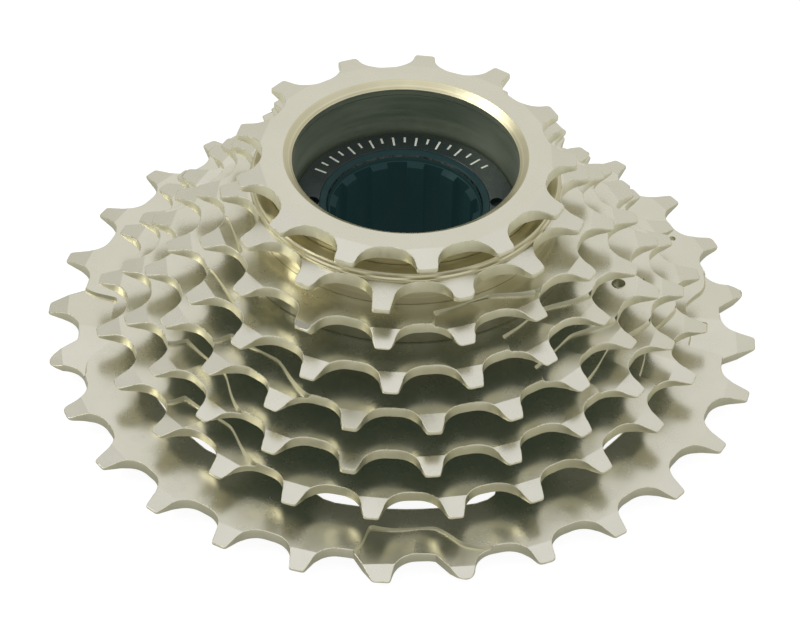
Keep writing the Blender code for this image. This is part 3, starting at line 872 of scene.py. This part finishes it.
def sprocket(index, walls, thickness, holes=(), bore_slots=None):
    """Makes a toothed plate and places it.

    walls holds the loops of its bore, bore_slots the material of each strip between them, and
    holes the outlines of its windows.
    """
    name = f"{ROWS[index].teeth}t"
    top = row_top(index)
    bottom = top - thickness
    outline, facets = sprocket_outline(index)
    pressed = recesses(index, outline, facets)
    drops = [FRONT_FACET_DROP * FACET_SLOPES.get((index, tooth), 1) for tooth in range(len(facets))]
    tops = [top - h for h in facet_heights(outline, facets, drops)]
    for recess in pressed:
        tops = [z - recess.depth(i) if recess.holds(i) else z for i, z in enumerate(tops)]
    drops = [BACK_FACET_DROP] * len(facets)
    bottoms = [bottom + h for h in facet_heights(outline, facets, drops)]
    bm = bmesh.new()
    rim = [add_loop(bm, *loop) for loop in rounded_wall(outline, top, bottom, tops, bottoms)]
    for recess in pressed:
        recess.add_ridge(bm, top)
    inner = [[add_loop(bm, *loop) for loop in walls]]
    for hole in holes:
        inner.append([add_loop(bm, *loop) for loop in rounded_wall(hole, top, bottom, edge=-EDGE)])
    marks = add_punch_marks(bm, index, top)
    toothed_side(bm, rim[0], facets, [*(loops[0] for loops in inner), *marks], pressed)
    toothed_side(bm, rim[-1], facets, [loops[-1] for loops in inner])
    for number, loops in enumerate([rim, *inner]):
        for strip, (upper, lower) in enumerate(zip(loops, loops[1:])):
            slot = ROLLED if strip < 2 else WALL
            if number == 1:
                slot = bore_slots[strip] if bore_slots else WALL
            join_loops(bm, upper, lower, slot)
    looks = ["nickel_face", "nickel_wall", "nickel_edge", "turned_nickel", "honed_bore"]
    obj = new_piece(bm, f"toothed_plate_{name}", [look(each) for each in looks])
    fan_normals(obj.data)
    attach(obj, "driver")
    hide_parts(f"sprocket_{name}")


def row_top(index):
    """Height of a row's front face.  The second has a boss, so its face is found from the others'."""
    if index == 1:
        return (top_of("sprocket_13t") + top_of("sprocket_16t")) / 2
    return top_of(f"sprocket_{ROWS[index].teeth}t")


def spline_outline(bore=SPLINE_BORE_RADIUS, notch=LUG_NOTCH_RADIUS):
    """Bore of a sprocket that slides over the body's lugs."""
    half = math.degrees(LUG_NOTCH_HALF_WIDTH / SPLINE_BORE_RADIUS)
    step = 360 / LUG_COUNT
    points = []
    for lug in range(LUG_COUNT):
        middle = lug * step
        corners = ((bore, -half), (notch, -half), (notch, half), (bore, half))
        points += [polar(radius, middle + turn) for radius, turn in corners]
        span = step - 2 * half
        points += [polar(bore, middle + half + span * i / 16) for i in range(1, 16)]
    return points


def rounded_corner(before, corner, after, radius):
    a, c, b = Vector(before), Vector(corner), Vector(after)
    return curve(c + (a - c).normalized() * radius, c, c + (b - c).normalized() * radius, 5)


def window_outline(direction):
    """An opening between two arms whose sides are parallel, with rounded corners."""
    sides = []
    for radius, side in ((WINDOW_OUTER_RADIUS, 1), (WINDOW_INNER_RADIUS, -1)):
        reach = side * (180 / WINDOW_COUNT - math.degrees(math.asin(ARM_HALF_WIDTH / radius)))
        sides.append(arc(radius, direction - reach, direction + reach, 14))
    rounded = []
    for side, other in (sides, sides[::-1]):
        rounded += rounded_corner(other[-1], side[0], side[2], WINDOW_CORNER)
        rounded += side[3:-3]
        rounded += rounded_corner(side[-3], side[-1], other[0], WINDOW_CORNER)
    return rounded


def splined_sprockets():
    bore = spline_outline()
    for index in range(2, len(ROWS)):
        top = row_top(index)
        thickness = top - bottom_of(f"sprocket_{ROWS[index].teeth}t")
        walls = rounded_wall(bore, top, top - thickness, edge=-EDGE)
        if index == 2:
            lip = spline_outline(LIP_RADIUS, LIP_RADIUS + 0.03)
            below = top - LIP_THICKNESS
            walls = [(lip, top), (lip, below), *rounded_wall(bore, below, top - thickness, edge=-EDGE)]
        holes = []
        if index == PIN_HOLE[0]:
            holes = [small_circle(*PIN_HOLE[1:])]
        if index == LAST:
            step = 360 / WINDOW_COUNT
            holes = [window_outline(WINDOW_DIRECTION + step * i) for i in range(WINDOW_COUNT)]
        sprocket(index, walls, thickness, holes)


def hub_sprocket(index, profile, slots):
    """A sprocket whose bore and hub are turned to a (radius, z) profile."""
    walls = [(circle(radius), z) for radius, z in profile]
    sprocket(index, walls, SMALL_SPROCKET_THICKNESS, bore_slots=slots)


def smallest_sprocket():
    top = row_top(0)
    bottom = bottom_of("sprocket_13t")
    lip = top_of("outer_body") + 0.05
    plate = top - SMALL_SPROCKET_THICKNESS
    hub = SMALLEST_HUB_RADIUS
    profile = (
        (SMALLEST_CHAMFER_RADIUS + 0.08, top), (SMALLEST_CHAMFER_RADIUS - 0.04, top - 0.03),
        (SMALLEST_BORE_RADIUS, top - 1.0), (SMALLEST_BORE_RADIUS, lip), (20.6, lip),
        (20.6, bottom), (hub - 0.15, bottom), (hub, bottom + 0.15), (hub, plate - 1.05),
        (hub - 0.12, plate - 0.98), (hub - 0.12, plate - 0.85), (hub, plate - 0.78),
        (hub, plate - 0.3), (hub + 0.3, plate),
    )
    hub_sprocket(0, profile, [TURNED, TURNED, BORE] + [TURNED] * (len(profile) - 4))


def second_sprocket():
    top = row_top(1)
    bottom = row_top(2)
    boss = top + SECOND_BOSS_HEIGHT
    recess = bottom_of("sprocket_13t") - 0.05
    inner = SMALLEST_HUB_RADIUS + 0.03
    hub = SECOND_BOSS_RADIUS
    profile = (
        (hub + 0.45, top), (hub + 0.40, top + 0.22), (hub + 0.05, top + 0.34),
        (hub, boss - 0.2), (hub - 0.2, boss), (inner + 0.08, boss), (inner, boss - 0.08),
        (inner, recess), (21.6, recess), (21.6, bottom), (hub - 0.1, bottom),
        (hub, bottom + 0.1), (hub, bottom + 1.0), (hub - 0.04, bottom + 1.2),
        (hub, bottom + 1.4), (hub, top - SMALL_SPROCKET_THICKNESS - 0.25),
        (hub + 0.2, top - SMALL_SPROCKET_THICKNESS),
    )
    hub_sprocket(1, profile, [TURNED] * (len(profile) - 1))


# ---------------------------------------------------------------- core and cone


def turned(profile, name):
    """A ring whose closed (radius, z) profile is spun round the axis."""
    bm = bmesh.new()
    loops = [add_loop(bm, circle(radius, RING_SEGMENTS), z) for radius, z in profile]
    for upper, lower in pairs(loops):
        join_loops(bm, upper, lower, 0)
    return new_piece(bm, name)


def prism(outlines, low, high, name):
    """Straight solids on the given outlines, as one piece."""
    bm = bmesh.new()
    for outline in outlines:
        face = bm.faces.new(add_loop(bm, outline, low))
        moved = bmesh.ops.extrude_face_region(bm, geom=[face])["geom"]
        verts = [item for item in moved if isinstance(item, bmesh.types.BMVert)]
        bmesh.ops.translate(bm, verts=verts, vec=(0, 0, high - low))
    return new_piece(bm, name)


def race(balls, start, end):
    """Arc of a ball race in a (radius, z) profile."""
    return [(balls[0] + r, balls[1] + z) for r, z in arc(RACE_RADIUS, start, end, 10)]


def remover_outline():
    """Grooves of the socket that the freewheel remover fits."""
    points = []
    inner = REMOVER_RADIUS - 0.6
    half = REMOVER_GROOVE_HALF_DEG
    for groove in range(REMOVER_GROOVES):
        middle = REMOVER_DIRECTION + groove * 360 / REMOVER_GROOVES
        points.append(polar(inner, middle - half * 1.05))
        points += arc(REMOVER_GROOVE_RADIUS, middle - half, middle + half, 4)
        points.append(polar(inner, middle + half * 1.05))
    return points


def pocket_outline(direction):
    """Hollow in the core that a pawl folds into."""
    points = [(-1.3, 21.0), (-1.5, PAWL_PIVOT_RADIUS + 0.8)]
    points += [(x, PAWL_PIVOT_RADIUS + y) for x, y in arc(1.7, 180, 270, 6)]
    points += [(7.2, 16.9), (7.7, 21.0)]
    return [turn_point((radial, tangential), direction) for tangential, radial in points]


def inner_core():
    top = top_of("inner_core") + 0.2
    front_seat = bottom_of("thick_shim") - 0.3
    middle = PAWL_MID_Z
    profile = [
        (HUB_THREAD_RADIUS + 0.6, 0.0), (CORE_FLANGE_RADIUS - 0.3, 0.0),
        (CORE_FLANGE_RADIUS, 0.3), (CORE_FLANGE_RADIUS, REAR_BALLS[1] - RACE_RADIUS),
        *race(REAR_BALLS, 270, 180),
        (REAR_BALLS[0] - RACE_RADIUS, 5.5), (CORE_RADIUS, 5.8), (CORE_RADIUS, middle - 0.6),
        (CORE_RADIUS - 1.3, middle - 0.6), (CORE_RADIUS - 1.3, middle + 0.6),
        (CORE_RADIUS, middle + 0.6), (CORE_RADIUS, front_seat - 0.7),
        (CORE_RADIUS - 0.3, front_seat - 0.4), (14.9, front_seat - 0.4), (14.9, front_seat),
        (NECK_RADIUS, front_seat), (NECK_RADIUS, top), (NECK_RADIUS - 0.6, top - 0.1),
        (NECK_RADIUS - 1.0, top - 0.35), (NECK_RADIUS - 1.12, top - 0.6),
        (NECK_RADIUS - 1.3, top - 0.75), (NECK_RADIUS - 1.45, top - 1.2),
        (REMOVER_RADIUS + 0.1, top - 1.75), (REMOVER_RADIUS, top - 2.0),
        (REMOVER_RADIUS, HUB_THREAD_DEPTH), (HUB_THREAD_RADIUS, HUB_THREAD_DEPTH),
        (HUB_THREAD_RADIUS, 0.6),
    ]
    core = turned(profile, "core_with_socket")
    half = POCKET_HALF_HEIGHT
    pockets = [pocket_outline(direction) for direction in PAWL_DIRECTIONS]
    apply_cutters(
        core,
        [
            prism([remover_outline()], HUB_THREAD_DEPTH - 1, top + 1, "remover_grooves"),
            prism(pockets, middle - half, middle + half, "pawl_pockets"),
        ],
    )
    # The core takes the darker oxide, painted shade for the hollow of the socket.
    place(core, "shaded_socket_oxide", "black_oxide", "core", "inner_core")
    rim = [
        (NECK_RADIUS - 1.02, top - 0.33), (NECK_RADIUS - 1.0, top - 0.45),
        (NECK_RADIUS - 1.12, top - 0.66), (NECK_RADIUS - 1.2, top - 0.62),
    ]
    place(turned(rim, "polished_rim"), "worn_oxide", "black_oxide", "core")


def hub_thread():
    """Helical ridge on the bore that screws onto the hub.  It fades out at both ends."""
    bm = bmesh.new()
    per_turn = 72
    fade_steps = per_turn // 4
    low, high = 0.9, HUB_THREAD_DEPTH - 0.6
    turns = (high - low) / THREAD_PITCH
    steps = round(turns * per_turn)
    rings = []
    for i in range(steps + 1):
        fade = min(1, i / fade_steps, (steps - i) / fade_steps)
        height = low + (high - low) * i / steps
        ring = []
        for r, z in THREAD_SECTION:
            depth = r * fade if r < 0 else r
            x, y = polar(HUB_THREAD_RADIUS + depth, 360 * i / per_turn)
            ring.append(bm.verts.new((x, y, height + z)))
        rings.append(ring)
    for near, far in zip(rings, rings[1:]):
        join_loops(bm, near, far, 0)
    bm.faces.new(rings[0])
    bm.faces.new(rings[-1])
    place(new_piece(bm, "hub_thread_ridge"), "black_oxide", "black_oxide", "core")


def bearing_cone():
    top = top_of("bearing_cone")
    low = bottom_of("bearing_cone")
    inner = NECK_RADIUS + 0.05
    rim = CONE_OUTER_RADIUS + 0.2
    profile = [
        (inner, top - 0.08), (inner + 0.08, top), (rim - 0.15, top), (rim, top - 0.15),
        (rim, FRONT_BALLS[1] + RACE_RADIUS + 0.05),
        *race(FRONT_BALLS, 90, 180),
        (FRONT_BALLS[0] - RACE_RADIUS, low),
        (inner, low),
    ]
    cone = turned(profile, "bearing_cone_ring")
    directions = PIN_HOLE_DIRECTIONS
    holes = [small_circle(PIN_HOLE_CIRCLE, each, PIN_HOLE_RADIUS, 32) for each in directions]
    apply_cutters(cone, [prism(holes, top - 0.9, top + 1, "spanner_holes")])
    place(cone, "black_oxide", "black_oxide", "core", "bearing_cone")


def cone_marks():
    """Pairs of plain white ticks round the back of the cone's face."""
    top = top_of("bearing_cone")
    outlines = []
    for number in range(TICK_PAIRS):
        for side, inner in zip((-1, 1), TICK_INNER_RADII):
            turn = TICK_START + (number + side / 4) * TICK_STEP
            outer, half = TICK_OUTER_RADIUS, TICK_HALF_ANGLE
            corners = ((inner, -half * 1.05), (outer, -half), (outer, half), (inner, half * 1.05))
            outlines.append([polar(radius, turn + lean) for radius, lean in corners])
    marks = prism(outlines, top - 0.05, top + 0.012, "tick_marks")
    place(marks, "white_ink", "black_oxide", "core")


def ball_rows():
    rows = (
        ("front_balls_row", FRONT_BALLS, FRONT_BALL_COUNT, "front_balls", "front_ball_row"),
        ("rear_balls_row", REAR_BALLS, REAR_BALL_COUNT, "rear_balls", "rear_ball_row"),
    )
    for name, (radius, z), count, body, node in rows:
        bm = bmesh.new()
        for i in range(count):
            x, y = polar(radius, 360 * i / count)
            matrix = Matrix.Translation((x, y, z))
            bmesh.ops.create_uvsphere(
                bm, u_segments=20, v_segments=12, radius=BALL_RADIUS, matrix=matrix
            )
        place(new_piece(bm, name), "bright_steel", "bright_steel", body, node)


def outer_body():
    top = top_of("outer_body")
    back = bottom_of("outer_body")
    spline_top = row_top(2) - 0.25
    step = row_top(0) - BODY_STEP_DROP
    web = BODY_WEB_HEIGHT
    profile = [
        (BODY_FLANGE_RADIUS, back + 0.15), (BODY_FLANGE_RADIUS, back + 0.85),
        (BODY_FLANGE_RADIUS - 0.15, back + 1.0), (SPLINE_RADIUS, back + 1.0),
        (SPLINE_RADIUS, spline_top - 0.3), (SPLINE_RADIUS - 0.3, spline_top),
        (21.3, spline_top), (21.3, step), (20.3, step), (20.3, top - 0.3), (20.0, top),
        (FRONT_BORE_RADIUS, top), (FRONT_BORE_RADIUS, FRONT_BALLS[1] + 0.3),
        *race(FRONT_BALLS, 0, -90),
        (15.2, FRONT_BALLS[1] - RACE_RADIUS), (15.2, web), (20.2, web),
        (20.2, REAR_BALLS[1] + RACE_RADIUS),
        *race(REAR_BALLS, 90, 0),
        (22.75, back),
        (BODY_FLANGE_RADIUS - 0.15, back),
    ]
    body = turned(profile, "splined_body")
    root, crown, half = SPLINE_RADIUS - 0.6, LUG_RADIUS, LUG_HALF_WIDTH
    corners = (
        (root, -half), (crown - 0.1, -half), (crown, -half + 0.2),
        (crown, half - 0.2), (crown - 0.1, half), (root, half),
    )
    turns = [lug * 360 / LUG_COUNT for lug in range(LUG_COUNT)]
    lugs = [[turn_point(corner, turn) for corner in corners] for turn in turns]
    apply_cutters(body, [prism(lugs, back + 0.6, spline_top - 0.2, "lugs")], "UNION")
    ratchet = []
    for tooth in range(RATCHET_TEETH):
        start = PAWL_DIRECTIONS[0] + tooth * 360 / RATCHET_TEETH
        ratchet += [polar(radius, start + turn) for radius, turn in RATCHET_CORNERS]
    apply_cutters(body, [prism([ratchet], RATCHET_BOTTOM, web - 0.2, "ratchet_teeth")])
    place(body, "body_steel", "body_steel", "driver", "outer_body")
    body.data.materials.append(look("honed_bore"))
    for face in body.data.polygons:
        centre = face.center / MM
        if centre.z > FRONT_BALLS[1] and centre.xy.length < FRONT_BORE_RADIUS + 0.1:
            face.material_index = 1


def spacers():
    """Rings that fill the room between two sprockets."""
    inner, rim = SPACER_BORE_RADIUS, SPACER_RADIUS
    for index in range(3, len(ROWS)):
        upper, lower = ROWS[index - 1].teeth, ROWS[index].teeth
        node = f"spacer_{upper}_{lower}"
        low = row_top(index) + 0.02
        high = bottom_of(f"sprocket_{upper}t") - 0.02
        profile = [
            (inner, low), (rim - 0.2, low), (rim, low + 0.2), (rim, high - 0.2),
            (rim - 0.2, high), (inner, high),
        ]
        ring = turned(profile, f"ring_{upper}_{lower}")
        place(ring, "spacer_plate", "nickel_plate", "driver", node)


def rear_dust_seal():
    low, high = bottom_of("rear_dust_seal"), top_of("rear_dust_seal")
    inner = CORE_FLANGE_RADIUS + 0.3
    profile = [
        (inner, low + 0.1), (inner + 0.1, low), (24.0, low), (24.1, low + 0.12),
        (24.9, low + 0.12), (25.0, low), (25.9, low), (26.0, low + 0.1), (26.0, high - 0.1),
        (25.9, high), (inner + 0.1, high), (inner, high - 0.1),
    ]
    seal = turned(profile, "lipped_seal")
    place(seal, "seal_rubber", "seal", "driver", "rear_dust_seal")


def stage():
    """A wide pale floor, just under the object."""
    bm = bmesh.new()
    corners = [(-6000, -6000), (6000, -6000), (6000, 6000), (-6000, 6000)]
    bm.faces.new(add_loop(bm, corners, -0.02)).normal_update()
    floor = new_piece(bm, "floor", [look("floor_paper")], recalc=False)


def floor_paper(m):
    """Bright paper to the eye, but in the metal it mirrors darker near the object, as if shaded."""
    near, far, low, high = FLOOR_SHADE
    shade = m.ramp(m.distance(), low, high, near * MM, far * MM)
    seen = m.add("ShaderNodeLightPath")
    glow = m.add("ShaderNodeMapRange")
    m.link(seen.outputs["Is Camera Ray"], glow.inputs["Value"])
    m.link(shade, glow.inputs["To Min"])
    glow.inputs["To Max"].default_value = FLOOR_GLOW
    m.link(glow.outputs["Result"], m.shader.inputs["Emission Strength"])
    m.shader.inputs["Emission Color"].default_value = (1, 1, 1, 1)
    colour = m.colours(m.noise(3, 2), (0.3, (0.14, 0.14, 0.14)), (0.7, (0.15, 0.15, 0.15)))
    m.finish(colour, 0.9, metallic=0.0)


LOOKS = (
    nickel_face, nickel_wall, nickel_edge, turned_nickel, honed_bore, black_oxide, shaded_socket_oxide,
    body_steel, worn_oxide, spacer_plate, bright_steel, spring_steel, seal_rubber, white_ink,
    floor_paper,
)
MADE = {}


def look(name):
    """The material of that name, which its function builds the first time."""
    if name not in MADE:
        MADE[name] = bpy.data.materials.new(name)
        build = next(each for each in LOOKS if each.__name__ == name)
        build(Nodes(MADE[name], "Principled BSDF"))
    return MADE[name]


def world():
    """Soft white surroundings, a little brighter overhead, and dimmer in front and at the sides."""
    made = bpy.data.worlds.new("studio")
    bpy.context.scene.world = made
    w = Nodes(made, "Background")
    source = w.add("ShaderNodeTexCoord")
    split = w.add("ShaderNodeSeparateXYZ")
    w.link(source.outputs["Generated"], split.inputs["Vector"])
    strength = None
    for axis, dimming in (("Y", FRONT_DIMMING), ("X", LEFT_DIMMING), ("X", RIGHT_DIMMING)):
        start, end, low, high = dimming
        factor = w.ramp(split.outputs[axis], low, high, start, end)
        if strength:
            both = w.add("ShaderNodeMath", operation="MULTIPLY")
            w.link(strength, both.inputs[0])
            w.link(factor, both.inputs[1])
            factor = both.outputs[0]
        strength = factor
    w.link(w.colours(split.outputs["Z"], *SKY), w.shader.inputs["Color"])
    w.link(strength, w.shader.inputs["Strength"])


def softbox(name, azimuth, elevation, distance, size, strength, colour):
    data = bpy.data.lights.new(name, "AREA")
    data.shape = "RECTANGLE"
    data.size, data.size_y = size
    data.energy = strength
    data.color = colour
    obj = bpy.data.objects.new(name, data)
    e, a = math.radians(elevation), math.radians(azimuth)
    direction = Vector((math.cos(e) * math.cos(a), math.cos(e) * math.sin(a), math.sin(e)))
    obj.location = direction * distance
    obj.rotation_euler = direction.to_track_quat("Z", "Y").to_euler()
    bpy.context.scene.collection.objects.link(obj)


def camera():
    """Looks down at the front face of the largest sprocket, where the axis meets it."""
    elevation, roll = math.radians(CAMERA_ELEVATION), math.radians(CAMERA_ROLL)
    data = bpy.data.cameras.new("camera")
    data.sensor_width = 36
    data.lens = CAMERA_LENS
    data.shift_x, data.shift_y = CAMERA_SHIFT
    data.clip_start = 0.01
    obj = bpy.data.objects.new("camera", data)
    back = Vector((0, -math.cos(elevation), math.sin(elevation)))
    right = Vector((1, 0, 0))
    up = back.cross(right)
    turned_right = right * math.cos(roll) + up * math.sin(roll)
    turned_up = up * math.cos(roll) - right * math.sin(roll)
    target = Vector((0, 0, row_top(LAST) * MM))
    matrix = Matrix((turned_right, turned_up, back)).transposed().to_4x4()
    matrix.translation = target + back * CAMERA_DISTANCE * MM
    obj.matrix_world = matrix
    bpy.context.scene.collection.objects.link(obj)
    bpy.context.scene.camera = obj
    bpy.context.scene.view_settings.view_transform = "Standard"


def repaint(node, name):
    """Gives its material to a CAD node that shows as it is."""
    data = frame["nodes"][node].data
    data.materials.clear()
    data.materials.append(look(name))


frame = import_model()

smallest_sprocket()
second_sprocket()
splined_sprockets()
spacers()
outer_body()
rear_dust_seal()
inner_core()
hub_thread()
bearing_cone()
cone_marks()
ball_rows()
for node_name, look_name in (
    ("thick_shim", "bright_steel"), ("thin_shim", "bright_steel"), ("pawl_a", "bright_steel"),
    ("pawl_b", "bright_steel"), ("pawl_spring", "spring_steel"),
):
    repaint(node_name, look_name)

stage()
world()
softbox("overhead", -90, 72, 1.2, (0.9, 0.5), 0.5, (1.0, 0.95, 0.85))
softbox("left", 177, 48, 1.2, (0.6, 0.5), 4.5, (1.0, 0.99, 0.96))
camera()
